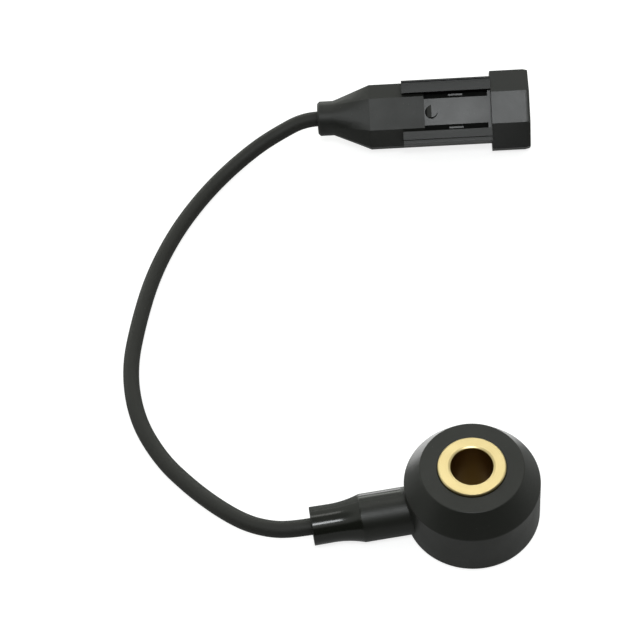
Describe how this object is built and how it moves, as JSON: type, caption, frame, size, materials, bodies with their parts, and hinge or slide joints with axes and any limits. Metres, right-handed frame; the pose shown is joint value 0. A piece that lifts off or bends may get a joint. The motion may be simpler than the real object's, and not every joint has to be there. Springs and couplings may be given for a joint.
{
  "type": "engine knock sensor",
  "caption": "Ring-shaped engine knock sensor with a brass sleeve for one screw, a cable arm, a short lead and a male plug.",
  "frame": {"origin": "on the mounting bore's axis, in the plane of the sleeve's base face, which meets the engine block", "axes": "+Z along the bore, out of the top face where the screw's head sits; -X along the cable arm"},
  "size_m": [0.1022, 0.1264, 0.018],
  "materials": {
    "head_plastic": "satin black glass-filled plastic",
    "sleeve_brass": "fine-turned pale brass",
    "cable_jacket": "matt black jacket",
    "overmould_plastic": "satin black",
    "plug_plastic": "smooth satin black",
    "tinned_blade": "bright tin plating",
    "contact_brass": "stamped strip",
    "copper_wire": "stranded copper",
    "stack_steel": "machined steel",
    "piezo_ceramic": "fired ceramic with silvered faces",
    "insulation": "plain insulating plastic"
  },
  "bodies": {
    "root": {"head_housing": "head_plastic", "bore_sleeve": "sleeve_brass", "cable": "cable_jacket", "plug_overmould": "overmould_plastic", "plug_shell": "plug_plastic", "signal_blade": "tinned_blade", "ground_blade": "tinned_blade", "shield_blade": "tinned_blade", "insulating_tube": "insulation", "lower_insulating_washer": "insulation", "upper_insulating_washer": "insulation", "ground_contact_plate": "contact_brass", "signal_contact_plate": "contact_brass", "piezo_ring": "piezo_ceramic", "seismic_mass": "stack_steel", "disc_spring": "stack_steel", "clamping_nut": "stack_steel", "signal_wire_in_arm": "copper_wire", "ground_wire_in_arm": "copper_wire", "signal_insulation_in_arm": "insulation", "ground_insulation_in_arm": "insulation", "signal_splice": "contact_brass", "ground_splice": "contact_brass", "signal_wire_in_plug": "copper_wire", "ground_wire_in_plug": "copper_wire", "shield_drain_wire": "copper_wire", "signal_insulation_in_plug": "insulation", "ground_insulation_in_plug": "insulation", "shield_drain_tubing": "insulation"}
  },
  "joints": []
}
